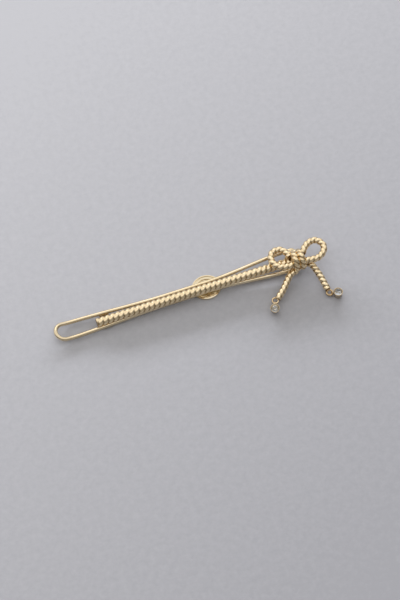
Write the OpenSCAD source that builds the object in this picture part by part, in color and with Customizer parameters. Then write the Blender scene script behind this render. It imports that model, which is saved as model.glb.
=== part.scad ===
// Bow hairpin: a rope-twist bar hinged to a long wire loop, with a rope bow
// and two stone drops over the hinge. Millimetres, +X along the bar towards
// the bow, +Z up. The origin is the centre of the oval plate's underside.

/* [Wire bail] */
// Diameter of the bail wire
wire_d = 1; // [0.8:0.05:1.1]
// Distance from the plate's centre to the tip of the loop
tip_reach = 39.2; // [36:0.2:46]
// Distance between the two legs near the tip, wire centre to wire centre
loop_w = 4.3; // [3.8:0.1:5]
// Distance between the two legs under the middle of the bar
waist_w = 2.4; // [2.2:0.05:2.9]
// Distance between the two legs at the hinge
hinge_w = 5.4; // [5.2:0.1:6]
// Height that the tip is bent up to make a finger tab
tip_lift = 0.8; // [0.4:0.1:2]
// Radius of the bend that turns each leg into the hinge
bend_r = 0.7; // [0.6:0.05:0.8]

/* [Plates under the wires] */
// Length of the oval plate along the bar
plate_l = 7.6; // [6:0.2:10]
// Width of the oval plate across the wires
plate_w = 6.6; // [5.4:0.2:8]
// Thickness of the oval plate at its lip
plate_t = 0.6; // [0.5:0.05:0.8]
// Width of the lip round the plate's edge
lip_w = 0.3; // [0.2:0.05:0.4]
// Width of the groove inside the lip
groove_w = 0.35; // [0.25:0.05:0.45]
// Depth of the groove
groove_deep = 0.2; // [0.1:0.05:0.3]
// Width of the ridge inside the groove
ridge_w = 0.4; // [0.3:0.05:0.5]
// Depth of the field inside the ridge
field_deep = 0.3; // [0.2:0.05:0.4]
// Distance of the legs' middle line in front of the plate's centre
plate_offset = 0.28; // [0:0.01:0.4]
// Thickness of the small bridge under the bar's free end
bridge_t = 0.3; // [0.25:0.05:0.5]
// Length of the bridge along the bar
bridge_l = 2.3; // [1.5:0.1:3]
// Distance of the bridge's centre in from the bar's free end
bridge_inset = 2.6; // [1.6:0.1:4]

/* [Hinge] */
// Distance from the plate's centre to the hinge axis
hinge_reach = 23.8; // [22:0.2:28]
// Radial running clearance of the wire ends in the ears
pin_gap = 0.05; // [0.02:0.01:0.09]
// Outer radius of the ears round the hinge axis
ear_r = 0.95; // [0.85:0.05:1.05]
// Thickness of each ear
ear_t = 0.5; // [0.4:0.05:0.6]
// Width of the bracket over both ears
bracket_w = 3.4; // [3.2:0.05:3.6]
// Thickness of the bracket's deck
deck_t = 0.3; // [0.25:0.05:0.4]
// Length of the deck in front of the hinge axis, towards the tip
deck_l = 2.6; // [2:0.1:3]
// Gap between the two wire ends inside the spring
stub_gap = 0.4; // [0.36:0.02:0.6]
// Wire diameter of the torsion spring
spring_d = 0.3; // [0.2:0.02:0.32]
// Radial gap between the spring and the wire end inside it
spring_gap = 0.12; // [0.08:0.02:0.16]

/* [Twisted rope] */
// Width of the bar's rope
bar_d = 2.4; // [2.2:0.05:2.5]
// Share of its round depth that the bar's flattened underside keeps
bar_under_share = 0.15; // [0.1:0.01:0.3]
// Length of one full turn of the twist in the bar
bar_pitch = 2.66; // [2.3:0.01:3]
// Distance from the plate's centre to the bar's free end
bar_reach = 29; // [28:0.2:32]
// Distance of the bar in front of the legs' middle line
bar_offset = 0.72; // [0.5:0.01:0.9]
// Outer diameter of the bow's rope
rope_d = 1.75; // [1.6:0.05:1.8]
// Diameter of one strand of the bow's rope
strand_d = 1.45; // [1.3:0.01:1.5]
// Length of one full turn of the twist in the bow
bow_pitch = 2.45; // [2.2:0.05:3]
// Gap between the closed bar and the wires
rest_gap = 0.1; // [0.06:0.02:0.2]

/* [Bow] */
// Length of the left loop from the knot to its outer bend
left_loop_l = 4.6; // [4:0.05:6]
// Width that the left loop's points are shares of
left_loop_w = 5.1; // [4.6:0.05:6]
// Length of the right loop from the knot to its outer bend
right_loop_l = 5.7; // [5:0.05:7]
// Width that the right loop's points are shares of
right_loop_w = 5; // [4.6:0.05:6]
// Drop of each loop's outer bend below the knot
loop_droop = 0.05; // [0:0.01:0.06]
// Distance of the knot in front of the legs' middle line
knot_offset = 1.72; // [1.5:0.01:2]
// Distance between the feet of the knot's wraps, rope centre to rope centre
knot_w = 4; // [3.6:0.1:4.6]
// Rise of the knot's wraps over the deck, rope centre
knot_h = 2.1; // [1.8:0.1:2.6]

/* [Tails and drops] */
// Distance of the left ring's centre from the hinge axis, towards the tip
left_ring_back = 9.19; // [8:0.01:11]
// Distance of the left ring's centre in front of the middle line
left_ring_out = 9.4; // [8:0.01:11]
// Distance of the right ring's centre past the hinge axis
right_ring_past = 4.42; // [4:0.01:6]
// Distance of the right ring's centre in front of the middle line
right_ring_out = 11.37; // [10:0.01:13]
// Mean diameter of an end ring
ring_d = 1.5; // [1.4:0.05:1.7]
// Wire diameter of an end ring
ring_wire = 0.46; // [0.4:0.02:0.48]
// Mean diameter of the eye that hangs in an end ring
eye_d = 0.84; // [0.8:0.02:0.9]
// Wire diameter of the eye
eye_wire = 0.24; // [0.2:0.02:0.26]
// Outer diameter of a bezel at its mouth
bezel_d = 2.3; // [2.2:0.05:2.6]
// Outer diameter of a bezel at its base
bezel_base_d = 1.9; // [1.6:0.05:2]
// Height of a bezel
bezel_h = 2; // [1.6:0.05:2.2]
// Diameter of a stone
stone_d = 1.9; // [1.6:0.05:1.95]
// Height of a stone's girdle
girdle_h = 0.12; // [0.08:0.02:0.16]
// Height of a stone's crown
crown_h = 0.36; // [0.2:0.02:0.4]
// Diameter of a stone's table
table_d = 1.04; // [0.8:0.02:1.1]
// Depth of a stone's pavilion
pavilion_h = 0.56; // [0.5:0.02:0.64]
// Gap round a stone in its bezel
stone_gap = 0.02; // [0.01:0.01:0.05]

/* [Hidden] */

gold = "#dcc391";
clear_stone = "#e9edf2";

// Faces of the round bodies, and rings of a twist
round_fn = 48;
wire_sides = 12;
spring_sides = 6;
rope_sides = 12;
rings_a_turn = 8;

wire_r = wire_d / 2;
rope_r = rope_d / 2;
strand_r = strand_d / 2;
strand_out = rope_r - strand_r;
ring_r = ring_d / 2;
eye_r = eye_d / 2;
eye_outer_r = (eye_d + eye_wire) / 2;
spring_r = spring_d / 2;
// One overrun for every cut
over = wire_d / 10;

// The middle line of the legs and the height of the wire's centre along it
mid_y = -plate_offset;
plate_wire_z = plate_t + wire_r;
bridge_reach = bar_reach - bridge_inset;
bridge_wire_z = bridge_t + wire_r;
wire_slope = (plate_wire_z - bridge_wire_z) / bridge_reach;
hinge_z = plate_wire_z + wire_slope * hinge_reach;

// The bar lies on the wires, and its end is seated into the deck
bar_r = bar_d / 2;
bar_y = mid_y - bar_offset;
bar_rise = wire_r + rest_gap + bar_r * bar_under_share;
bar_end = hinge_reach - ear_r - spring_d - rest_gap;
deck_z = wire_z(bar_end) + bar_rise + bar_r + rest_gap / 2;
deck_under = deck_z - deck_t;

// The knot stands on the deck over the hinge
knot_x = hinge_reach - wire_r;
knot_y = mid_y - knot_offset;
knot_half = rope_d - strand_out / 2;
loop_z = deck_z + rope_r;

// Where the bends of the legs begin and end
bend_x = hinge_reach - bend_r;
stub_y = hinge_w / 2 - bend_r;

// The legs lie straight up to the lift, and the tip's bend is a half circle
lift_start_share = 0.86;
widen_start_share = 0.25;
swell_end_share = 0.92;

// Left drop leans towards the front, right drop lies flat
left_lean = 20;
left_heading = -113;
right_heading = -33;

function smooth(t) = let (u = min(max(t, 0), 1)) u * u * (3 - 2 * u);
function unit(v) = v / norm(v);
function polar(r, a) = [r * cos(a), r * sin(a)];
function wire_z(x) = plate_wire_z + wire_slope * x;

// A smooth curve through points, at a place counted in points
function curve(points, place) =
    let (
        last = len(points) - 1,
        i = min(floor(place), last - 1),
        t = place - i,
        a = points[max(i - 1, 0)],
        b = points[i],
        c = points[i + 1],
        d = points[min(i + 2, last)]
    )
    b + (c - a) * t / 2
        + (2 * a - 5 * b + 4 * c - d) * t * t / 2
        + (3 * b - a - 3 * c + d) * t * t * t / 2;
function route(points, steps) =
    [for (i = [0 : steps]) curve(points, (len(points) - 1) * i / steps)];

// Running length, heading and carried normal at each point of a route
function walked(line) =
    [for (i = 0, s = 0; i < len(line); s = s + norm(line[min(i + 1, len(line) - 1)] - line[i]),
        i = i + 1) s];
function heading(line, i) = unit(line[min(i + 1, len(line) - 1)] - line[max(i - 1, 0)]);
function square_to(v, along) = unit(v - (v * along) * along);
function normals(line, up) =
    [for (i = 0, n = square_to(up, heading(line, 0)); i < len(line);
        n = square_to(n, heading(line, min(i + 1, len(line) - 1))), i = i + 1) n];

// Outline of two strands that lie side by side, as a radius at an angle
function strands(a) =
    strand_out * abs(cos(a)) + sqrt(pow(strand_r, 2) - pow(strand_out * sin(a), 2));

// Skins a stack of rings that run along a line
module skin(rings) {
    sides = len(rings[0]);
    last = len(rings) - 1;
    polyhedron(
        points = [for (ring = rings) each ring],
        faces = [
            [for (k = [0 : sides - 1]) k],
            [for (k = [sides - 1 : -1 : 0]) last * sides + k],
            for (i = [0 : last - 1], k = [0 : sides - 1])
                let (a = i * sides + k, b = i * sides + (k + 1) % sides)
                each [[a, a + sides, b + sides], [a, b + sides, b]]
        ]
    );
}

module tube(line, r, sides, up) {
    n = normals(line, up);
    skin([for (i = [0 : len(line) - 1])
        let (side = cross(heading(line, i), n[i]))
        [for (k = [0 : sides - 1])
            line[i] + r * (cos(360 * k / sides) * n[i] + sin(360 * k / sides) * side)]]);
}

// A rope of two strands, grown from the bow's size and flattened below
module rope(points, up, pitch, shift = 0, grow = 1, under_share = 1) {
    rough = walked(route(points, 4 * len(points)));
    steps = ceil(rough[len(rough) - 1] / pitch * rings_a_turn);
    line = route(points, steps);
    s = walked(line);
    n = normals(line, up);
    skin([for (i = [0 : steps])
        let (side = cross(heading(line, i), n[i]))
        [for (k = [0 : rope_sides - 1])
            let (
                a = 360 * k / rope_sides,
                turned = a + shift - 360 * s[i] / pitch,
                rise = grow * strands(a) * cos(turned),
                out = grow * strands(a) * sin(turned)
            )
            line[i] + rise * (rise < 0 ? under_share : 1) * n[i] + out * side]]);
}

oval_end_share = 0.36;

// Half the distance between the legs, and their height, at a place on X
function leg_half(x) =
    x > 0
        ? (waist_w + (hinge_w - waist_w) * smooth(x / (hinge_reach * swell_end_share))) / 2
        : (waist_w + (loop_w - waist_w) * smooth((-x - tip_reach * widen_start_share)
            / (tip_reach * (1 - widen_start_share) - loop_w / 2))) / 2;
function leg_z(x) =
    wire_z(x) + tip_lift * pow(max(0, (-x / tip_reach - lift_start_share)
        / (1 - lift_start_share)), 2);

leg_steps = 24;
tip_steps = 12;
tip_centre = tip_reach - loop_w / 2;

module wire_bail() {
    leg = [for (i = [0 : leg_steps])
        let (x = bend_x + over - (bend_x + over + tip_centre) * i / leg_steps)
        [x, mid_y + leg_half(x), leg_z(x)]];
    tip = [for (i = [1 : tip_steps - 1])
        let (a = 90 + 180 * i / tip_steps, x = loop_w / 2 * cos(a) - tip_centre)
        [x, mid_y + loop_w / 2 * sin(a), leg_z(x)]];
    back = [for (i = [leg_steps : -1 : 0]) [leg[i].x, 2 * mid_y - leg[i].y, leg[i].z]];
    color(gold) {
        tube([each leg, each tip, each back], wire_r, wire_sides, [0, 0, 1]);
        for (turn = [-1, 1])
            translate([0, mid_y, hinge_z])
                hinge_end(turn);
    }
}

// One leg's bend into the hinge, and the round stub that the ear turns on
module hinge_end(turn) {
    mirror([0, turn < 0 ? 1 : 0, 0]) {
        translate([bend_x, stub_y, 0])
            rotate_extrude(angle = 90, $fn = round_fn)
                translate([bend_r, 0])
                    circle(wire_r, $fn = round_fn);
        translate([hinge_reach, stub_gap / 2, 0])
            rotate([-90, 0, 0])
                cylinder(h = stub_y - stub_gap / 2, r = wire_r, $fn = round_fn);
    }
}

module oval(l, w, h) {
    // Four arcs make the oval: two small ends and two long sides
    end_r = w * oval_end_share;
    end_x = l / 2 - end_r;
    side_r = (end_x * end_x + w * w / 4 - end_r * end_r) / (w - 2 * end_r);
    linear_extrude(h)
        union() {
            intersection() {
                translate([0, w / 2 - side_r])
                    circle(side_r, $fn = 2 * round_fn);
                translate([0, side_r - w / 2])
                    circle(side_r, $fn = 2 * round_fn);
                square([2 * end_x * side_r / (side_r - end_r), 2 * w], center = true);
            }
            for (turn = [-1, 1])
                translate([turn * end_x, 0])
                    circle(end_r, $fn = round_fn);
        }
}

module oval_plate() {
    color(gold)
        difference() {
            oval(plate_l, plate_w, plate_t);
            translate([0, 0, plate_t - groove_deep])
                difference() {
                    inset_oval(lip_w, groove_deep + over);
                    inset_oval(lip_w + groove_w, groove_deep + over);
                }
            translate([0, 0, plate_t - field_deep])
                inset_oval(lip_w + groove_w + ridge_w, field_deep + over);
        }
}

module inset_oval(inset, h) {
    oval(plate_l - 2 * inset, plate_w - 2 * inset, h);
}

module bridge_plate() {
    bridge_w = 2 * leg_half(-bridge_reach) + wire_r;
    color(gold)
        translate([-bridge_reach - bridge_l / 2, mid_y - bridge_w / 2, 0])
            cube([bridge_l, bridge_w, bridge_t]);
}

// A deck bent down at both sides into two ears
module hinge_bracket() {
    color(gold)
        difference() {
            union() {
                translate([hinge_reach - deck_l, mid_y - bracket_w / 2 + ear_t, deck_under])
                    cube([deck_l + ear_r, bracket_w - 2 * ear_t, deck_t]);
                for (turn = [0, 1])
                    translate([0, mid_y, 0])
                        mirror([0, turn, 0])
                            flank();
            }
            translate([hinge_reach, mid_y - bracket_w / 2 - over, hinge_z])
                rotate([-90, 0, 0])
                    cylinder(h = bracket_w + 2 * over, r = wire_r + pin_gap, $fn = round_fn);
        }
}

// The deck's bend on one side, and the ear that goes on down from it
module flank() {
    inner_y = bracket_w / 2 - ear_t;
    translate([hinge_reach - deck_l, inner_y, deck_z - ear_t])
        rotate([90, 0, 90])
            rotate_extrude(angle = 90, $fn = round_fn)
                square([ear_t, deck_l + ear_r]);
    translate([hinge_reach - ear_r, inner_y, hinge_z])
        cube([2 * ear_r, ear_t, deck_z - ear_t - hinge_z]);
    translate([hinge_reach, inner_y, hinge_z])
        rotate([-90, 0, 0])
            cylinder(h = ear_t, r = ear_r, $fn = round_fn);
}

spring_mean_r = wire_r + spring_gap + spring_r;
hook_r = bar_r + spring_r + stone_gap;
coil_turns = 2.5;
coil_l = coil_turns * (spring_d + stone_gap);
entry_turns = 0.3;
coil_steps = 34;
hook_steps = 4;
hook_arc = 50;

module torsion_spring() {
    // The inner end crosses the gap between the wire ends and winds outwards
    all_turns = coil_turns + entry_turns;
    coil = [for (i = [0 : coil_steps])
        let (
            turns = all_turns * i / coil_steps,
            a = 90 - 360 * (all_turns - turns),
            r = spring_mean_r * min(turns / entry_turns, 1),
            y = coil_l * max(turns - entry_turns, 0) / coil_turns
        )
        [hinge_reach + r * cos(a), mid_y + y, hinge_z + r * sin(a)]];
    // The outer end runs beside the bar and hooks over its shoulder
    hook_x = hinge_reach - deck_l - spring_d - rest_gap;
    bar_z = wire_z(hook_x) + bar_rise;
    hook = [for (i = [0 : hook_steps])
        let (a = hook_arc * i / hook_steps)
        [hook_x, bar_y + hook_r * cos(a), bar_z + hook_r * sin(a)]];
    leg_x = (hinge_reach + hook_x) / 2;
    color(gold)
        tube([each coil, [leg_x, (mid_y + coil_l + bar_y + hook_r) / 2, hinge_z + spring_mean_r],
            [hook_x + spring_d, bar_y + hook_r, (hinge_z + spring_mean_r + bar_z) / 2],
            each hook], spring_r, spring_sides, [0, 1, 0]);
}

module rope_bar() {
    points = [for (x = [-bar_reach, -bar_reach / 2, 0, bar_end / 2, bar_end])
        [x, bar_y, wire_z(x) + bar_rise]];
    color(gold)
        rope(points, [0, 0, 1], bar_pitch, grow = bar_d / rope_d, under_share = bar_under_share);
}

// Places on each loop, as shares of its length and of its width
left_loop_shares = [[0, 0.23], [0.16, 0.6], [0.43, 0.79], [0.82, 0.73], [1, 0.44],
    [0.96, 0.14], [0.74, -0.12], [0.38, -0.22], [0, -0.23]];
right_loop_shares = [[0, 0.21], [0.13, 0.44], [0.37, 0.66], [0.67, 0.74], [0.91, 0.57],
    [1, 0.24], [0.84, -0.08], [0.55, -0.26], [0.25, -0.25], [0, -0.21]];

module loop(shares, l, w, turn) {
    color(gold)
        rope([for (p = shares)
            [knot_x + turn * (knot_half + l * p.x), knot_y + w * p.y, loop_z - loop_droop * p.x]],
            [0, 0, 1], bow_pitch);
}

module bow_left_loop() {
    loop(left_loop_shares, left_loop_l, left_loop_w, -1);
}

module bow_right_loop() {
    loop(right_loop_shares, right_loop_l, right_loop_w, 1);
}

core_r_share = 0.6;

// A core that the loops end against, under two wraps of rope
module bow_knot() {
    foot_z = deck_under;
    wrap_h = knot_h + deck_z - foot_z;
    core_r = knot_w * core_r_share;
    wrap_steps = 10;
    color(gold) {
        translate([knot_x - knot_half, knot_y, deck_z])
            rotate([90, 0, 90])
                linear_extrude(2 * knot_half)
                    intersection() {
                        translate([-knot_w / 2, 0])
                            square([knot_w, knot_h]);
                        translate([0, knot_h - core_r])
                            circle(core_r, $fn = 2 * round_fn);
                    }
        for (turn = [-1, 1])
            rope([for (i = [0 : wrap_steps])
                let (a = 180 * i / wrap_steps)
                [knot_x + turn * (knot_half - rope_r), knot_y - cos(a) * knot_w / 2,
                    foot_z + sin(a) * wrap_h]], [1, 0, 0], bow_pitch, 45 * turn);
    }
}

// Distance from the point that a drop swings about to the middle of its bezel
bezel_x = eye_r + bezel_base_d / 2;

// Places of the rings' centres and of the points that the drops swing about
left_ring = [hinge_reach - left_ring_back, mid_y - left_ring_out];
right_ring = [hinge_reach + right_ring_past, mid_y - right_ring_out];
left_link_z = (bezel_x + bezel_base_d / 2) * sin(left_lean) + eye_outer_r * cos(left_lean);
right_link_z = eye_outer_r;

// Places on each tail, as shares of the way from its start to its end
left_tail_shares = [[0, 0, 0], [0.28, 0.12, 0.04], [0.46, 0.35, 0.17], [0.73, 0.72, 0.5], [1, 1, 1]];
right_tail_shares = [[0, 0, 0], [0.51, 0.22, 0.1], [0.71, 0.43, 0.36], [0.85, 0.65, 0.63],
    [0.93, 0.87, 0.88], [1, 1, 1]];
// Where each tail's end meets its ring
left_joint_turn = 20;
right_joint_turn = 102;

module tail(start, end, shares) {
    color(gold)
        rope([for (p = shares)
            [for (axis = [0 : 2]) start[axis] + (end[axis] - start[axis]) * p[axis]]],
            [0, 0, 1], bow_pitch);
}

// Both tails start just under the knot
tail_z = deck_z - rope_r - rest_gap / 2;

module left_tail() {
    joint = polar(ring_r, left_joint_turn);
    tail([knot_x - rope_r, knot_y - knot_w / 2, tail_z],
        [left_ring.x + joint.x, left_ring.y + joint.y, left_link_z],
        left_tail_shares);
}

module right_tail() {
    joint = polar(ring_r, right_joint_turn);
    tail([hinge_reach + ear_r + rest_gap, mid_y - bracket_w / 2, tail_z],
        [right_ring.x + joint.x, right_ring.y + joint.y, rope_r + rest_gap / 2],
        right_tail_shares);
}

module end_ring(centre, z) {
    color(gold)
        translate([centre.x, centre.y, z])
            rotate_extrude($fn = round_fn)
                translate([ring_r, 0])
                    circle(ring_wire / 2, $fn = round_fn / 2);
}

module left_end_ring() {
    end_ring(left_ring, left_link_z);
}

module right_end_ring() {
    end_ring(right_ring, right_link_z);
}

// Sets a drop's own frame: its origin is in the ring's wire, +X away from the ring
module drop_at(centre, z, turn, lean) {
    link = centre + polar(ring_r, turn);
    translate([link.x, link.y, z])
        rotate([0, 0, turn])
            rotate([0, lean, 0])
                children();
}

module left_drop() {
    drop_at(left_ring, left_link_z, left_heading, left_lean)
        children();
}

module right_drop() {
    drop_at(right_ring, right_link_z, right_heading, 0)
        children();
}

stone_z = bezel_h - eye_outer_r - crown_h / 2 - girdle_h;
seat_r = stone_d / 2 + stone_gap;
culet_r = stone_gap;

module bezel() {
    floor_z = stone_z - pavilion_h - 2 * stone_gap;
    color(gold) {
        rotate([90, 0, 0])
            rotate_extrude($fn = round_fn)
                translate([eye_r, 0])
                    circle(eye_wire / 2, $fn = round_fn / 2);
        translate([bezel_x, 0, 0])
            rotate_extrude($fn = round_fn)
                polygon([
                    [0, -eye_outer_r],
                    [bezel_base_d / 2, -eye_outer_r],
                    [bezel_d / 2, bezel_h - eye_outer_r],
                    [seat_r, bezel_h - eye_outer_r],
                    [seat_r, stone_z - stone_gap],
                    [culet_r, floor_z],
                    [0, floor_z]
                ]);
    }
}

module left_bezel() {
    left_drop()
        bezel();
}

module right_bezel() {
    right_drop()
        bezel();
}

// A round brilliant: table, crown, girdle and pavilion
module stone() {
    sides = 16;
    levels = [
        [stone_gap, -pavilion_h],
        [stone_d / 2, 0],
        [stone_d / 2, girdle_h],
        [table_d / 2, girdle_h + crown_h]
    ];
    color(clear_stone)
        translate([bezel_x, 0, stone_z])
            skin([for (level = levels)
                [for (k = [0 : sides - 1])
                    [level[0] * cos(360 * k / sides), level[0] * sin(360 * k / sides), level[1]]]]);
}

module left_stone() {
    left_drop()
        stone();
}

module right_stone() {
    right_drop()
        stone();
}

wire_bail();
oval_plate();
bridge_plate();
hinge_bracket();
torsion_spring();
rope_bar();
bow_left_loop();
bow_right_loop();
bow_knot();
left_tail();
right_tail();
left_end_ring();
right_end_ring();
left_bezel();
right_bezel();
left_stone();
right_stone();
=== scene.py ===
import math

import bmesh
import bpy
import numpy as np
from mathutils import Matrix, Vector


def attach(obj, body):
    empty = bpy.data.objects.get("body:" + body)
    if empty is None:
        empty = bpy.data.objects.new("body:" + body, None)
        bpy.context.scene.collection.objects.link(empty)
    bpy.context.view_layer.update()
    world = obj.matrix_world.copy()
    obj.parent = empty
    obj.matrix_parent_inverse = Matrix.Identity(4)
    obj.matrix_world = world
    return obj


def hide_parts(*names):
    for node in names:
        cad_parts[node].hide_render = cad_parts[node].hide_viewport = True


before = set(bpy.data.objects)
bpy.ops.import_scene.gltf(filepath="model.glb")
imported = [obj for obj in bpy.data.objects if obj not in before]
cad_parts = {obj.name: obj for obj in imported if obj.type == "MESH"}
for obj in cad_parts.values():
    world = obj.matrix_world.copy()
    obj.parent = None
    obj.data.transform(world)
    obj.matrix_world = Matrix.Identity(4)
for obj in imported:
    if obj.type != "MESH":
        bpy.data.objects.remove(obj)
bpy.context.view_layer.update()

# The wire bail: one length of round brass wire, bent into a long loop whose
# ends turn inwards and are the hinge pin. Drawn, bent cold, then plated in
# pale gold. All sizes are in millimetres and a mesh is made in metres.
MM = 0.001
wire_r = 0.5
tip_reach = 39.19
loop_w, waist_w, hinge_w = 4.3, 2.4, 5.4
tip_lift, bend_r = 0.8, 0.7
mid_y = -0.28
hinge_x = 23.8
plate_t, bridge_t, bridge_reach = 0.6, 0.3, 26.4
plate_wire_z = plate_t + wire_r
wire_slope = (plate_t - bridge_t) / bridge_reach
hinge_z = plate_wire_z + wire_slope * hinge_x


def linear(hex_colour):
    """An sRGB hex colour as the linear values that a shader takes."""
    parts = [int(hex_colour[i:i + 2], 16) / 255 for i in (1, 3, 5)]
    return [p / 12.92 if p <= 0.04045 else ((p + 0.055) / 1.055) ** 2.4 for p in parts] + [1.0]


def smooth(t):
    """A soft step from 0 to 1."""
    u = min(max(t, 0.0), 1.0)
    return u * u * (3 - 2 * u)


def unit(v):
    return v / np.linalg.norm(v)


def headings(line):
    """The direction of the line at each of its points."""
    ahead = np.vstack([line[1:], line[-1:]])
    behind = np.vstack([line[:1], line[:-1]])
    d = ahead - behind
    return d / np.linalg.norm(d, axis=1)[:, None]


def carried(line, up):
    """The line's direction at each point, and a normal carried along it without a twist."""
    t = headings(line)
    n = np.array(up, float)
    normals = []
    for d in t:
        n = unit(n - (n @ d) * d)
        normals.append(n)
    return t, np.array(normals)


def lengths(line):
    """The running length at each point of the line."""
    return np.concatenate([[0], np.cumsum(np.linalg.norm(np.diff(line, axis=0), axis=1))])


def curve(points, place):
    """A smooth curve through points, at a place counted in points."""
    last = len(points) - 1
    i = min(int(place), last - 1)
    t = place - i
    a, b = points[max(i - 1, 0)], points[i]
    c, d = points[i + 1], points[min(i + 2, last)]
    return (b + (c - a) * t / 2 + (2 * a - 5 * b + 4 * c - d) * t * t / 2
            + (3 * b - a - 3 * c + d) * t ** 3 / 2)


def route(points, steps):
    """A smooth curve through points, as a line of steps."""
    points = np.array(points, float)
    return np.array([curve(points, (len(points) - 1) * i / steps) for i in range(steps + 1)])


def skinned(rings):
    """The corners and faces of a skin over a stack of rings, closed at both ends."""
    count, sides = len(rings), len(rings[0])
    faces = [list(range(sides - 1, -1, -1)), [(count - 1) * sides + k for k in range(sides)]]
    for i in range(count - 1):
        for k in range(sides):
            a, b = i * sides + k, i * sides + (k + 1) % sides
            faces.append([a, b, b + sides, a + sides])
    return np.concatenate(rings), faces


def made(name, parts, material, body, nodes, shade_and_dull_plating=()):
    """One object from skins in millimetres, riding on a body in place of CAD nodes."""
    corners, faces = [], []
    for part_corners, part_faces in parts:
        start = sum(len(c) for c in corners)
        corners.append(np.array(part_corners, float))
        faces += [[start + k for k in f] for f in part_faces]
    mesh = bpy.data.meshes.new(name)
    mesh.from_pydata((np.concatenate(corners) * MM).tolist(), [], faces)
    # The painted shade, with the duller plating, goes on as a point attribute when given
    if len(shade_and_dull_plating):
        mesh.attributes.new("shade_and_dull_plating", "FLOAT", "POINT").data.foreach_set("value", shade_and_dull_plating)
    work = bmesh.new()
    work.from_mesh(mesh)
    bmesh.ops.recalc_face_normals(work, faces=work.faces)
    work.to_mesh(mesh)
    work.free()
    mesh.shade_smooth()
    mesh.materials.append(material)
    piece = bpy.data.objects.new(name, mesh)
    bpy.context.scene.collection.objects.link(piece)
    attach(piece, body)
    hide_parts(*nodes)
    return piece


def tube(line, r, sides, up):
    """The skin of a round wire along a line."""
    line = np.array(line, float)
    t, n = carried(line, up)
    side = np.cross(t, n)
    a = np.linspace(0, 2 * math.pi, sides, endpoint=False)
    return skinned([line[i] + r * (np.outer(np.cos(a), n[i]) + np.outer(np.sin(a), side[i]))
                    for i in range(len(line))])


def add(tree, kind, settings=None, links=None):
    """One shader node with its settings, and its inputs linked to other nodes' outputs."""
    node = tree.nodes.new(kind)
    for key, value in (settings or {}).items():
        if isinstance(key, int) or key in node.inputs:
            node.inputs[key].default_value = value
        else:
            setattr(node, key, value)
    for key, source in (links or {}).items():
        tree.links.new(source, node.inputs[key])
    return node


def gilt(name, colour, worn, rough, grain_mm, drawn=1.0, bump_mm=0.004):
    """A thin skin of bright metal whose warmth and polish vary a little.

    The warmth changes in broad patches. The polish follows a grain, which is
    stretched along the clip where drawn is under 1. Real polishing marks are too
    fine to show, so the grain is drawn coarser than it is.
    """
    patch_mm = 6
    # Nearly all of a noise lies between these two values
    least, most = 0.3, 0.7
    m = bpy.data.materials.new(name)
    m.use_nodes = True
    tree = m.node_tree
    surface = tree.nodes["Principled BSDF"]
    place = add(tree, "ShaderNodeTexCoord")
    along = add(tree, "ShaderNodeMapping", {"Scale": (drawn, 1, 1)}, {"Vector": place.outputs["Object"]})
    fine = add(tree, "ShaderNodeTexNoise", {"Scale": 1 / (grain_mm * MM), "Detail": 5.0, "Roughness": 0.6},
               {"Vector": along.outputs["Vector"]})
    broad = add(tree, "ShaderNodeTexNoise", {"Scale": 1 / (patch_mm * MM), "Detail": 3.0},
                {"Vector": place.outputs["Object"]})
    tint = add(tree, "ShaderNodeValToRGB", None, {"Fac": broad.outputs["Fac"]})
    tint.color_ramp.elements[0].position = least
    tint.color_ramp.elements[0].color = linear(worn)
    tint.color_ramp.elements[1].position = most
    tint.color_ramp.elements[1].color = linear(colour)
    polish = add(tree, "ShaderNodeMapRange",
                 {"From Min": least, "From Max": most, "To Min": rough * 0.75, "To Max": rough * 1.3},
                 {"Value": fine.outputs["Fac"]})
    relief = add(tree, "ShaderNodeBump", {"Strength": 0.5, "Distance": bump_mm * MM},
                 {"Height": fine.outputs["Fac"]})
    surface.inputs["Metallic"].default_value = 1.0
    tree.links.new(tint.outputs["Color"], surface.inputs["Base Color"])
    tree.links.new(polish.outputs["Result"], surface.inputs["Roughness"])
    tree.links.new(relief.outputs["Normal"], surface.inputs["Normal"])
    return m


# Drawn brass wire under bright plating: sharp reflections, with the die's faint
# lines along it
gilt_wire = gilt("gilt_drawn_wire", "#eadabd", "#d9c6a2", rough=0.09, grain_mm=0.12, drawn=0.08)
widen_start_share, swell_end_share, lift_start_share = 0.25, 0.92, 0.86


def leg_half(x):
    """Half the way between the legs, which are closest by the plate and spread to both ends."""
    if x > 0:
        return (waist_w + (hinge_w - waist_w) * smooth(x / (hinge_x * swell_end_share))) / 2
    widen_l = tip_reach * (1 - widen_start_share) - loop_w / 2
    return (waist_w + (loop_w - waist_w) * smooth((-x - tip_reach * widen_start_share) / widen_l)) / 2


def wire_z(x):
    """Height of the wires' middle line, which falls from the hinge to the bridge."""
    return plate_wire_z + wire_slope * x


def leg_z(x):
    """The same height with the lift of the tip."""
    return wire_z(x) + tip_lift * max(0.0, (-x / tip_reach - lift_start_share) / (1 - lift_start_share)) ** 2


bend_x = hinge_x - bend_r
stub_y = hinge_w / 2 - bend_r
tip_centre = tip_reach - loop_w / 2
stub_gap, stub_share = 0.4, 0.6
bend_steps, leg_steps, tip_steps = 14, 120, 42
pin = [[hinge_x, mid_y + stub_gap / 2, hinge_z], [hinge_x, mid_y + stub_y * stub_share, hinge_z]]
bend = [[bend_x + bend_r * math.cos(a), mid_y + stub_y + bend_r * math.sin(a), hinge_z]
        for a in np.linspace(0, math.pi / 2, bend_steps)]
leg = [[x, mid_y + leg_half(x), leg_z(x)] for x in np.linspace(bend_x, -tip_centre, leg_steps)[1:]]
tip = [[-tip_centre + loop_w / 2 * math.cos(a), mid_y + loop_w / 2 * math.sin(a),
        leg_z(-tip_centre + loop_w / 2 * math.cos(a))]
       for a in np.linspace(math.pi / 2, 3 * math.pi / 2, tip_steps)[1:-1]]
rear_half = np.array(pin + bend + leg)
front_half = rear_half[::-1].copy()
front_half[:, 1] = 2 * mid_y - front_half[:, 1]
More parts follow.
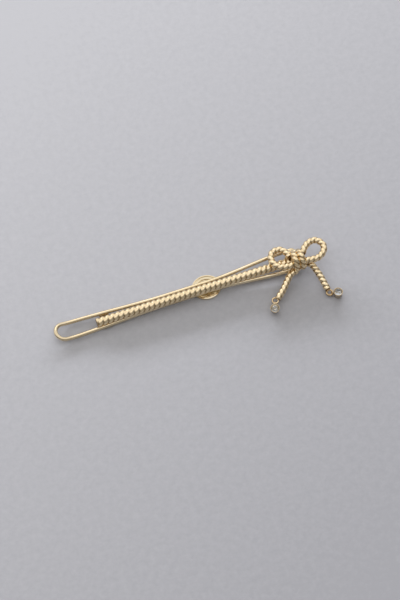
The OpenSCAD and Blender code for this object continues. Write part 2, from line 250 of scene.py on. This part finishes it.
made("bail_wire", [tube(np.vstack([rear_half, tip, front_half]), wire_r, sides=28, up=(0, 0, 1))],
     gilt_wire, "bail", ["wire_bail"])

# The oval plate: stamped brass with a lip, a groove and a ridge round a sunk
# field, soldered under both wires. The clip rests on it.

# Stamped sheet is rolled smooth, so under the plating it shines softly and evenly
gilt_sheet = gilt("gilt_stamped_sheet", "#f2e4ca", "#dfcfaf", rough=0.15, grain_mm=0.35)


def from_sheet(piece, edge_mm, segments):
    """Plates a piece of sheet and rounds its edges a little, as tumbling does."""
    piece.data.materials.clear()
    piece.data.materials.append(gilt_sheet)
    edge = piece.modifiers.new("rounded_edge", "BEVEL")
    edge.width, edge.segments = edge_mm * MM, segments


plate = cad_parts["oval_plate"]
from_sheet(plate, 0.07, 3)
plate.data.shade_smooth()
plate.modifiers.new("flat_faces", "WEIGHTED_NORMAL")

# The bridge: a short strip of the same sheet, soldered across the wires under
# the bar's free end, which keeps the two legs at their distance.
from_sheet(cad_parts["bridge_plate"], 0.06, 3)

# The hinge bracket: the same sheet folded, two ears bored for the wire's ends
# under a deck that the knot and the bar's end are soldered to.
ear_r, deck_l, deck_t, bracket_w = 0.95, 2.6, 0.3, 3.4
from_sheet(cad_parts["hinge_bracket"], 0.05, 2)

# The torsion spring: fine spring wire, gilt with the rest. It winds round the
# wire's end and its long leg presses on the bar's shoulder.
spring_d, spring_gap = 0.3, 0.12
spring_r = spring_d / 2
spring_mean_r = wire_r + spring_gap + spring_r
rest_gap, close_gap = 0.1, 0.02
bar_r, bar_y, bar_under_share = 1.2, -1.0, 0.15
bar_rise = wire_r + rest_gap + bar_r * bar_under_share
coil_turns, entry_turns, coil_steps = 2.5, 0.3, 120
all_turns = coil_turns + entry_turns
coil_l = coil_turns * (spring_d + close_gap)
coil = []
for i in range(coil_steps + 1):
    turns = all_turns * i / coil_steps
    a = math.radians(90 - 360 * (all_turns - turns))
    r = spring_mean_r * min(turns / entry_turns, 1)
    coil.append([hinge_x + r * math.cos(a), mid_y + coil_l * max(turns - entry_turns, 0) / coil_turns,
                 hinge_z + r * math.sin(a)])
hook_r, hook_arc, hook_steps = bar_r + spring_r + close_gap, 50, 8
hook_x = hinge_x - deck_l - spring_d - rest_gap
hook_z = wire_z(hook_x) + bar_rise
hook = [[hook_x, bar_y + hook_r * math.cos(a), hook_z + hook_r * math.sin(a)]
        for a in np.radians(np.linspace(0, hook_arc, hook_steps + 1))]
leg_route = route([coil[-1],
                   [(hinge_x + hook_x) / 2, (mid_y + coil_l + bar_y + hook_r) / 2, hinge_z + spring_mean_r],
                   [hook_x + spring_d, bar_y + hook_r, (hinge_z + spring_mean_r + hook_z) / 2],
                   hook[0]], steps=18)
made("spring_wire", [tube(np.vstack([coil, leg_route[1:-1], hook]), spring_r, sides=14, up=(0, 1, 0))],
     gilt_wire, "bar", ["torsion_spring"])


# The bar: cast in pale gilt brass as a rope of two strands with a flattened
# underside, so the clip closes flat on its wires. Its grooves are painted
# darker: painted shade, with the duller plating there that the polish misses.
def rope(points, up, pitch, width, strand, shift=0.0, under_share=1.0, top_light=0.65):
    """A two-strand rope's skin, and the painted shade, with the duller plating, at each of its corners.

    The strands turn once in a pitch, from the angle shift on. The underside keeps
    under_share of its depth, and top_light says how much painted light brightens the top's grooves.
    """
    sides, rings_a_turn = 48, 60
    points = np.array(points, float)
    rough_l = lengths(route(points, 8 * len(points)))[-1]
    line = route(points, int(math.ceil(rough_l / pitch * rings_a_turn)))
    s = lengths(line)
    t, n = carried(line, up)
    side = np.cross(t, n)
    strand_r = strand / 2
    out = width / 2 - strand_r
    a = np.linspace(0, 2 * math.pi, sides, endpoint=False)
    # The groove's bottom is a little rounded, as casting leaves it
    groove_round = 0.004
    lobe = np.sqrt(np.cos(a) ** 2 + groove_round)
    outline = out * lobe + np.sqrt(strand_r ** 2 - (out * np.sin(a)) ** 2)
    outline = outline * (width / 2) / outline.max()
    low = (outline.max() - outline) / (outline.max() - outline.min())
    # The cut ends have a rounded rim, from this share of the full width out
    rim_l, rim_share = width * 0.08, 0.86
    # Painted light: the grooves round the top, where the cosine is highest, are painted brighter, as the
    # light falls there
    top_cos, top_fade = 0.98, 0.2
    rings, shade_and_dull_plating = [], []
    for i in range(len(line)):
        around = a + math.radians(shift) - 2 * math.pi * s[i] / pitch
        rise, aside = outline * np.cos(around), outline * np.sin(around)
        rise = np.where(rise < 0, rise * under_share, rise)
        shade_kept = np.clip((top_cos - np.cos(around)) / top_fade, 1 - top_light, 1)
        end = min(s[i], s[-1] - s[i]) / rim_l
        shrunk = 1.0 if end >= 1 else rim_share + (1 - rim_share) * math.sqrt(1 - (1 - end) ** 2)
        # Painted shade in the grooves and at the cut ends, kept lighter round the top
        shade_and_dull_plating.append(np.maximum(low ** 2 * shade_kept, 1 - end))
        rings.append(line[i] + shrunk * (np.outer(rise, n[i]) + np.outer(aside, side[i])))
    return skinned(rings), np.concatenate(shade_and_dull_plating)


# Cast and tumbled brass under the plating: a satin shine that wavers over the
# casting, painted darker and browner in the grooves and at the cut ends, as painted shade with the duller
# plating there
cast_rope = gilt("gilt_cast_rope", "#fde8c3", "#f6e1ba", rough=0.16, grain_mm=0.4, bump_mm=0.016)
tree = cast_rope.node_tree
surface = tree.nodes["Principled BSDF"]
polished = surface.inputs["Base Color"].links[0].from_socket
shade_share = add(tree, "ShaderNodeAttribute", {"attribute_name": "shade_and_dull_plating"})
shaded_grooves = add(tree, "ShaderNodeMix", {"data_type": "RGBA"}, {"Factor": shade_share.outputs["Fac"]})
tree.links.new(polished, shaded_grooves.inputs["A"])
# The painted shade's colour in the grooves and at the cut ends
shaded_grooves.inputs["B"].default_value = linear("#987b53")
tree.links.new(shaded_grooves.outputs["Result"], surface.inputs["Base Color"])

bar_pitch, bow_pitch = 2.66, 2.45
bar_reach, bar_end = 29.0, hinge_x - ear_r - spring_d - rest_gap
rope_d, strand_d = 1.75, 1.45
bar_line = [[x, bar_y, wire_z(x) + bar_rise] for x in (-bar_reach, -bar_reach / 2, 0, bar_end / 2, bar_end)]
# The bar's grooves get the most painted light along the top
skin, shade_and_dull_plating = rope(bar_line, (0, 0, 1), bar_pitch, 2 * bar_r, 2 * bar_r * strand_d / rope_d,
                  under_share=bar_under_share, top_light=0.9)
made("bar_rope", [skin], cast_rope, "bar", ["rope_bar"], shade_and_dull_plating)

# The bow's loops: thinner rope of the same make, bent round and soldered to
# the knot's two sides.
rope_r, strand_out = rope_d / 2, rope_d / 2 - strand_d / 2
knot_offset = 1.72
knot_x, knot_y = hinge_x - wire_r, mid_y - knot_offset
knot_half = rope_d - strand_out / 2
deck_z = wire_z(bar_end) + bar_rise + bar_r + rest_gap / 2
loop_z, loop_droop = deck_z + rope_r, 0.05
left_shares = [(0, 0.23), (0.16, 0.6), (0.43, 0.79), (0.82, 0.73), (1, 0.44),
               (0.96, 0.14), (0.74, -0.12), (0.38, -0.22), (0, -0.23)]
right_shares = [(0, 0.21), (0.13, 0.44), (0.37, 0.66), (0.67, 0.74), (0.91, 0.57),
                (1, 0.24), (0.84, -0.08), (0.55, -0.26), (0.25, -0.25), (0, -0.21)]
for name, node, shares, loop_l, loop_width, turn in (
        ("left_loop_rope", "bow_left_loop", left_shares, 4.6, 5.1, -1),
        ("right_loop_rope", "bow_right_loop", right_shares, 5.66, 5.0, 1)):
    points = [[knot_x + turn * (knot_half + loop_l * x), knot_y + loop_width * y, loop_z - loop_droop * x]
              for x, y in shares]
    skin, shade_and_dull_plating = rope(points, (0, 0, 1), bow_pitch, rope_d, strand_d)
    made(name, [skin], cast_rope, "bar", [node], shade_and_dull_plating)

# The knot: two wraps of the same rope over a solid core, whose feet go down
# past the bracket's deck.
knot_w, knot_h, wrap_steps, wrap_shift = 4.0, 2.08, 10, 45
foot_z = deck_z - deck_t
wrap_h = knot_h + deck_z - foot_z
wraps, shade_parts = [], []
for turn in (-1, 1):
    wrap_x = knot_x + turn * (knot_half - rope_r)
    points = [[wrap_x, knot_y - math.cos(a) * knot_w / 2, foot_z + math.sin(a) * wrap_h]
              for a in np.linspace(0, math.pi, wrap_steps + 1)]
    skin, shade_and_dull_plating = rope(points, (1, 0, 0), bow_pitch, rope_d, strand_d, shift=wrap_shift * turn)
    wraps.append(skin)
    shade_parts.append(shade_and_dull_plating)
# The core is painted partly dark: painted shade between the two wraps
core_r_share, core_inset, core_shade, core_steps = 0.6, 0.1, 0.35, 24
core_r, core_half = knot_w * core_r_share, knot_half - core_inset
arc = [[y, knot_h - core_r + math.sqrt(core_r ** 2 - y * y)]
       for y in np.linspace(-knot_w / 2, knot_w / 2, core_steps + 1)]
profile = [[-knot_w / 2, 0]] + arc + [[knot_w / 2, 0]]
core = skinned([np.array([[x, knot_y + y, deck_z + z] for y, z in profile])
                for x in (knot_x - core_half, knot_x + core_half)])
shade_parts.append(np.full(len(core[0]), core_shade))
made("knot_wraps", [*wraps, core], cast_rope, "bar", ["bow_knot"], np.concatenate(shade_parts))

# The tails: two lengths of the rope from under the knot down to the table,
# each ending on a soldered ring.
ring_r, ring_wire = 0.75, 0.46
eye_r, eye_wire = 0.42, 0.24
eye_outer_r = eye_r + eye_wire / 2
bezel_d, bezel_base_d, bezel_h = 2.3, 1.9, 2.0
bezel_x = eye_r + bezel_base_d / 2
left_ring_back, left_ring_out, right_ring_past, right_ring_out = 9.19, 9.4, 4.42, 11.37
left_ring = np.array([hinge_x - left_ring_back, mid_y - left_ring_out])
right_ring = np.array([hinge_x + right_ring_past, mid_y - right_ring_out])
left_lean = math.radians(20)
left_link_z = (bezel_x + bezel_base_d / 2) * math.sin(left_lean) + eye_outer_r * math.cos(left_lean)
right_link_z = eye_outer_r
tail_z = deck_z - rope_r - rest_gap / 2
left_start = (knot_x - rope_r, knot_y - knot_w / 2, tail_z)
right_start = (hinge_x + ear_r + rest_gap, mid_y - bracket_w / 2, tail_z)
# Where each tail's end meets its ring
left_joint_turn, right_joint_turn = 20, 102
left_tail_shares = [(0, 0, 0), (0.28, 0.12, 0.04), (0.46, 0.35, 0.17), (0.73, 0.72, 0.5), (1, 1, 1)]
right_tail_shares = [(0, 0, 0), (0.51, 0.22, 0.1), (0.71, 0.43, 0.36), (0.85, 0.65, 0.63),
                     (0.93, 0.87, 0.88), (1, 1, 1)]
for name, node, start, centre, turn, end_z, shares in (
        ("left_tail_rope", "left_tail", left_start, left_ring,
         left_joint_turn, left_link_z, left_tail_shares),
        ("right_tail_rope", "right_tail", right_start, right_ring,
         right_joint_turn, rope_r + rest_gap / 2, right_tail_shares)):
    meets = math.radians(turn)
    end = (centre[0] + ring_r * math.cos(meets), centre[1] + ring_r * math.sin(meets), end_z)
    points = [[start[k] + (end[k] - start[k]) * p[k] for k in range(3)] for p in shares]
    skin, shade_and_dull_plating = rope(points, (0, 0, 1), bow_pitch, rope_d, strand_d)
    made(name, [skin], cast_rope, "bar", [node], shade_and_dull_plating)


# The end rings: small rings of brass wire, closed with solder and soldered to
# the tails' cut ends. The drops hang in them.
def ring(centre, r, wire, across, steps=64, sides=20):
    """A ring bent from wire of the radius wire, which lies square to the line across."""
    across = unit(np.array(across, float))
    # A direction that no ring's line has, from which the ring's own two are found
    askew = (0.3, 0.5, 0.8)
    first = unit(np.cross(across, askew))
    second = np.cross(across, first)
    a = np.linspace(0, 2 * math.pi, steps, endpoint=False)
    b = np.linspace(0, 2 * math.pi, sides, endpoint=False)
    corners = [np.array(centre) + (r + wire * math.cos(v)) * (math.cos(u) * first + math.sin(u) * second)
               + wire * math.sin(v) * across for u in a for v in b]
    faces = [[i * sides + k, ((i + 1) % steps) * sides + k,
              ((i + 1) % steps) * sides + (k + 1) % sides, i * sides + (k + 1) % sides]
             for i in range(steps) for k in range(sides)]
    return np.array(corners), faces


# Plated after soldering: the heat's brown shows in patches through a thin gold
gilt_ring = gilt("gilt_soldered_ring", "#e6d0ad", "#c0a377", rough=0.16, grain_mm=0.2)
made("left_end_ring_wire", [ring((*left_ring, left_link_z), ring_r, ring_wire / 2, (0, 0, 1))],
     gilt_ring, "bar", ["left_end_ring"])
made("right_end_ring_wire", [ring((*right_ring, right_link_z), ring_r, ring_wire / 2, (0, 0, 1))],
     gilt_ring, "bar", ["right_end_ring"])

# The drops: a turned brass cup with a rolled lip and an eye that hangs in the
# end ring. It is plated with the rest and holds a foil-backed crystal.
stone_d, girdle_h, crown_h, table_d, pavilion_h = 1.9, 0.12, 0.36, 1.04, 0.56
base_z, top_z = -eye_outer_r, bezel_h - eye_outer_r
stone_z = top_z - crown_h / 2 - girdle_h
floor_z = stone_z - pavilion_h - 2 * close_gap
base_r, lip_r, seat_r = bezel_base_d / 2, bezel_d / 2, stone_d / 2 + close_gap
# How the tool rounds the cup's corners: steps in from the base's edge and from
# the lip, whose rim keeps a hair inside the full width, and out from the seat
base_steps = [(0.08, 0), (0.02, 0.03), (0, 0.1)]
lip_steps = [(0.03, 0.22), (0.003, 0.16), (0.003, 0.07), (0.04, 0.01), (0.1, 0)]
seat_steps = [(0.05, 0.01), (0, 0.06)]
cup = [(0, base_z), *[(base_r - r, base_z + z) for r, z in base_steps],
       *[(lip_r - r, top_z - z) for r, z in lip_steps],
       *[(seat_r + r, top_z - z) for r, z in seat_steps],
       (seat_r, stone_z - close_gap), (close_gap, floor_z), (0, floor_z)]


def turned(profile, centre, steps=72):
    """A body of revolution about a line along Z through centre, in its own frame."""
    corners, faces = [], []
    for r, z in profile:
        for k in range(steps):
            a = 2 * math.pi * k / steps
            corners.append([centre[0] + r * math.cos(a), centre[1] + r * math.sin(a), z])
    for i in range(len(profile) - 1):
        for k in range(steps):
            a, b = i * steps + k, i * steps + (k + 1) % steps
            faces.append([a, b, b + steps, a + steps])
    return np.array(corners), faces


# The numbers of each row's first corner, from the crystal's table to its culet
table_at, star_at, edge_at, under_at, back_at, culet_at = 0, 8, 16, 32, 48, 56


def brilliant():
    """A crystal with a table, eight stars, eight kites, a girdle and a pavilion."""
    r, t = stone_d / 2, table_d / 2
    star_out, star_rise_share, back_r_share, back_depth_share = 0.03, 0.58, 0.42, 0.62
    star_r, star_z = (r + t) / 2 + star_out, girdle_h + crown_h * star_rise_share
    rows = [[(t, girdle_h + crown_h, 22.5 + 45 * k) for k in range(8)],
            [(star_r, star_z, 45 * k) for k in range(8)],
            [(r, girdle_h, 22.5 * k) for k in range(16)],
            [(r, 0, 22.5 * k) for k in range(16)],
            [(r * back_r_share, -pavilion_h * back_depth_share, 22.5 + 45 * k) for k in range(8)]]
    corners = [[bezel_x + c * math.cos(math.radians(a)), c * math.sin(math.radians(a)), stone_z + z]
               for row in rows for c, z, a in row]
    corners.append([bezel_x, 0, stone_z - pavilion_h])
    faces = [[table_at + k for k in range(8)]]
    for k in range(8):
        following = (k + 1) % 8
        edge, under, next_under = edge_at + 2 * k, under_at + 2 * k, under_at + (2 * k + 2) % 16
        faces.append([table_at + k, star_at + following, table_at + following])
        faces.append([table_at + k, star_at + k, edge + 1, star_at + following])
        faces.append([star_at + k, edge, edge + 1])
        faces.append([star_at + k, edge_at + (2 * k - 1) % 16, edge])
        faces.append([under, back_at + k, under + 1])
        faces.append([under + 1, back_at + k, next_under])
        faces.append([back_at + k, culet_at, back_at + following, next_under])
    for k in range(16):
        following = (k + 1) % 16
        faces.append([edge_at + k, under_at + k, under_at + following, edge_at + following])
    return np.array(corners), faces


def hung(part, link, heading, lean):
    """Puts a drop's own frame at its link: X outward from the ring, leaning down by lean."""
    corners, faces = part
    c, s = math.cos(lean), math.sin(lean)
    x, y, z = corners[:, 0] * c + corners[:, 2] * s, corners[:, 1], -corners[:, 0] * s + corners[:, 2] * c
    c, s = math.cos(heading), math.sin(heading)
    return np.stack([link[0] + x * c - y * s, link[1] + x * s + y * c, link[2] + z], axis=1), faces


# Lead crystal: clear, high index, and backed with silver foil, so it flashes. A
# little dust dulls it in spots
dust_mm = 0.4
crystal = bpy.data.materials.new("foiled_crystal")
crystal.use_nodes = True
tree = crystal.node_tree
surface = tree.nodes["Principled BSDF"]
surface.inputs["Base Color"].default_value = linear("#f3f5f8")
surface.inputs["IOR"].default_value = 1.58
surface.inputs["Transmission Weight"].default_value = 1.0
dust = add(tree, "ShaderNodeTexNoise", {"Scale": 1 / (dust_mm * MM), "Detail": 3.0},
           {"Vector": add(tree, "ShaderNodeTexCoord").outputs["Object"]})
haze = add(tree, "ShaderNodeMapRange", {"From Min": 0.45, "From Max": 0.75, "To Min": 0.01, "To Max": 0.08},
           {"Value": dust.outputs["Fac"]})
tree.links.new(haze.outputs["Result"], surface.inputs["Roughness"])

# Silver foil on the crystal's back, a little wrinkled, so the glints break up
foil = gilt("silver_foil", "#f2f3f4", "#dfe2e6", rough=0.12, grain_mm=0.2, bump_mm=0.02)

# Turned brass under the same gold: a soft even shine, browner in patches
gilt_cup = gilt("gilt_turned_cup", "#e8d5b7", "#c7ad85", rough=0.16, grain_mm=0.25)
cut_stone = brilliant()
left_heading, right_heading = math.radians(-113), math.radians(-33)
for label, ring_at, link_z, heading, lean in (
        ("left", left_ring, left_link_z, left_heading, left_lean),
        ("right", right_ring, right_link_z, right_heading, 0.0)):
    link = (ring_at[0] + ring_r * math.cos(heading), ring_at[1] + ring_r * math.sin(heading), link_z)
    eye = ring((0, 0, 0), eye_r, eye_wire / 2, (0, 1, 0), steps=48, sides=16)
    made(label + "_cup", [hung(part, link, heading, lean) for part in (turned(cup, (bezel_x, 0)), eye)],
         gilt_cup, label + "_drop", [label + "_bezel"])
    gem = made(label + "_crystal", [hung(cut_stone, link, heading, lean)],
               crystal, label + "_drop", [label + "_stone"])
    gem.data.shade_flat()
    gem.data.materials.append(foil)
    for face, corners in zip(gem.data.polygons, cut_stone[1]):
        face.material_index = int(max(corners) >= back_at)

# The table: a plain sheet of pale grey matt board, which takes soft shadows and
# hardly shines. Its tooth is too fine to show, so it is drawn coarser.
board = bpy.data.materials.new("matt_grey_board")
board.use_nodes = True
tree = board.node_tree
surface = tree.nodes["Principled BSDF"]
place = add(tree, "ShaderNodeTexCoord")
tooth_mm, falloff_mm = 1.6, 160
tooth = add(tree, "ShaderNodeTexNoise", {"Scale": 1 / (tooth_mm * MM), "Detail": 4.0, "Roughness": 0.75},
            {"Vector": place.outputs["Object"]})
# Painted light falloff: the board's far left is painted a little paler than its near right
tooth_share, level_share = 0.9, 0.05
across = add(tree, "ShaderNodeVectorMath", {"operation": "DOT_PRODUCT"}, {0: place.outputs["Object"]})
across.inputs[1].default_value = (0.5 / (falloff_mm * MM), -0.866 / (falloff_mm * MM), 0)
tooth_and_falloff = add(tree, "ShaderNodeMath", {"operation": "MULTIPLY_ADD", 1: tooth_share},
           {0: tooth.outputs["Fac"], 2: across.outputs["Value"]})
level = add(tree, "ShaderNodeMath", {"operation": "ADD", 1: level_share}, {0: tooth_and_falloff.outputs["Value"]})
grey = add(tree, "ShaderNodeValToRGB", None, {"Fac": level.outputs["Value"]})
grey.color_ramp.elements[0].position = 0.0
grey.color_ramp.elements[0].color = linear("#bcbcc1")
grey.color_ramp.elements[1].position = 1.0
grey.color_ramp.elements[1].color = linear("#a4a4aa")
relief = add(tree, "ShaderNodeBump", {"Strength": 0.5, "Distance": 0.06 * MM},
             {"Height": tooth.outputs["Fac"]})
tree.links.new(grey.outputs["Color"], surface.inputs["Base Color"])
tree.links.new(relief.outputs["Normal"], surface.inputs["Normal"])
surface.inputs["Roughness"].default_value = 0.85
surface.inputs["Specular IOR Level"].default_value = 0.25
sheet = bpy.data.meshes.new("table_sheet")
half = 600 * MM
sheet.from_pydata([(-half, -half, 0), (half, -half, 0), (half, half, 0), (-half, half, 0)], [],
                  [(0, 1, 2, 3)])
sheet.materials.append(board)
table = bpy.data.objects.new("table_sheet", sheet)
bpy.context.scene.collection.objects.link(table)

# The light: a pale room, bright in its whole upper back with a small lamp
# there, and dim at its sides and front.
world = bpy.data.worlds.new("pale_room")
bpy.context.scene.world = world
world.use_nodes = True
tree = world.node_tree
sky = tree.nodes["Background"]
place = add(tree, "ShaderNodeTexCoord")


def towards(direction, start, stop, low, high):
    """Brightness that rises from low to high towards a direction, between two cosines."""
    dot = add(tree, "ShaderNodeVectorMath", {"operation": "DOT_PRODUCT"}, {0: place.outputs["Generated"]})
    dot.inputs[1].default_value = Vector(direction).normalized()
    rise = add(tree, "ShaderNodeMapRange",
               {"interpolation_type": "SMOOTHSTEP", "From Min": start, "From Max": stop,
                "To Min": low, "To Max": high}, {"Value": dot.outputs["Value"]})
    return rise.outputs["Result"]


ceiling = towards((0, 0, 1), 0.0, 0.9, 0.1, 0.16)
upper_back = towards((0, 0.75, 0.66), 0.1, 0.55, 0.0, 0.82)
small_lamp = towards((0.1, 0.72, 0.69), 0.965, 0.995, 0.0, 1.45)
front = towards((0, -0.8, 0.6), 0.3, 0.95, 0.0, 0.2)
room = ceiling
for more in (upper_back, small_lamp, front):
    room = add(tree, "ShaderNodeMath", {"operation": "ADD"}, {0: room, 1: more}).outputs["Value"]
tree.links.new(room, sky.inputs["Strength"])
sky.inputs["Color"].default_value = linear("#fffdf9")

# A wide low window behind: it draws the long soft shadows on the table. Metal
# sees its weaker glow in the room instead, as it would through thin curtains.
pane = bpy.data.lights.new("low_window", "AREA")
pane.shape, pane.size, pane.size_y = "RECTANGLE", 1.8, 0.16
pane.energy = 20.5
pane.color = linear("#f6f9ff")[:3]
window = bpy.data.objects.new("low_window", pane)
out = Vector((0.09, 0.95, 0.255)).normalized()
window_away = 1.0
window.location = out * window_away
window.rotation_mode = "QUATERNION"
window.rotation_quaternion = out.to_track_quat("Z", "Y")
window.visible_glossy = False
bpy.context.scene.collection.objects.link(window)

# The camera looks down from the front at 62 degrees, a little from the left.
view_azimuth, view_elevation = math.radians(-19.53), math.radians(62)
target = Vector((-2.81, -3.13, 1.0)) * MM
back = Vector((math.sin(view_azimuth) * math.cos(view_elevation),
               -math.cos(view_azimuth) * math.cos(view_elevation), math.sin(view_elevation)))
camera_data = bpy.data.cameras.new("camera")
camera_data.lens, camera_data.sensor_width = 135, 36
photo_h_px, px_a_mm = 600, 4.05
distance = photo_h_px / px_a_mm * MM * camera_data.lens / camera_data.sensor_width
camera_data.clip_start, camera_data.clip_end = 0.01, 10
camera = bpy.data.objects.new("camera", camera_data)
camera.location = target + back * distance
camera.rotation_mode = "QUATERNION"
camera.rotation_quaternion = (-back).to_track_quat("-Z", "Y")
bpy.context.scene.collection.objects.link(camera)
bpy.context.scene.camera = camera
bpy.context.scene.view_settings.view_transform = "Standard"
